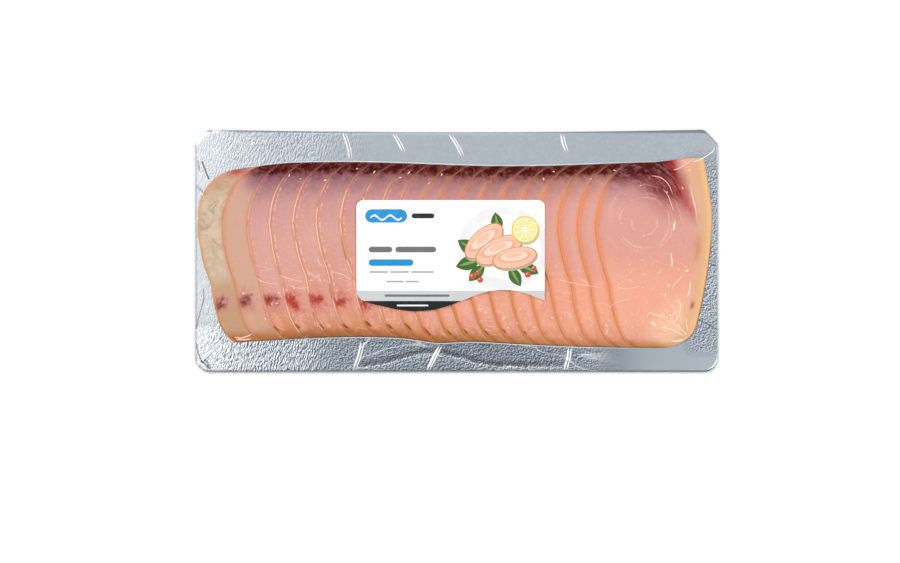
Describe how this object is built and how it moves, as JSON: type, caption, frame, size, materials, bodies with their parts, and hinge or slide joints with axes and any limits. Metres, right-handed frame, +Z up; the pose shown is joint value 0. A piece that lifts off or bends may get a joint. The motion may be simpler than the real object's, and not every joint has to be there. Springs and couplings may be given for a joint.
{
  "type": "vacuum pack of sliced smoked fish",
  "caption": "Flat clear vacuum pack of sliced smoked swordfish, fanned on a silver card, with a plain label on the film; it lies face up.",
  "frame": {"origin": "on the floor under the middle of the pack, which lies face up", "axes": "+X along the pack's long side, from the lowest slice at the left to the one on top at the right; +Y across it, towards the far long edge; +Z up, out of the pack's face"},
  "size_m": [0.3, 0.14, 0.0167],
  "materials": {
    "silver_card": "silver foil laminated on card, finely embossed",
    "smoked_crust": "moist smoked skin side of the fish, tan",
    "smoked_fish": "moist smoked fish, translucent pink with an orange rim",
    "label_paper": null,
    "clear_film": "clear glossy vacuum film, finely creased"
  },
  "bodies": {
    "root": {"card": "silver_card", "slice_01": "smoked_crust", "slice_02": "smoked_fish", "slice_03": "smoked_fish", "slice_04": "smoked_fish", "slice_05": "smoked_fish", "slice_06": "smoked_fish", "slice_07": "smoked_fish", "slice_08": "smoked_fish", "slice_09": "smoked_fish", "slice_10": "smoked_fish", "slice_11": "smoked_fish", "slice_12": "smoked_fish", "slice_13": "smoked_fish", "slice_14": "smoked_fish", "slice_15": "smoked_fish", "slice_16": "smoked_fish", "slice_17": "smoked_fish", "slice_18": "smoked_fish", "slice_19": "smoked_fish", "slice_20": "smoked_fish", "label": "label_paper", "film_front": "clear_film", "film_back": "clear_film"}
  },
  "joints": []
}
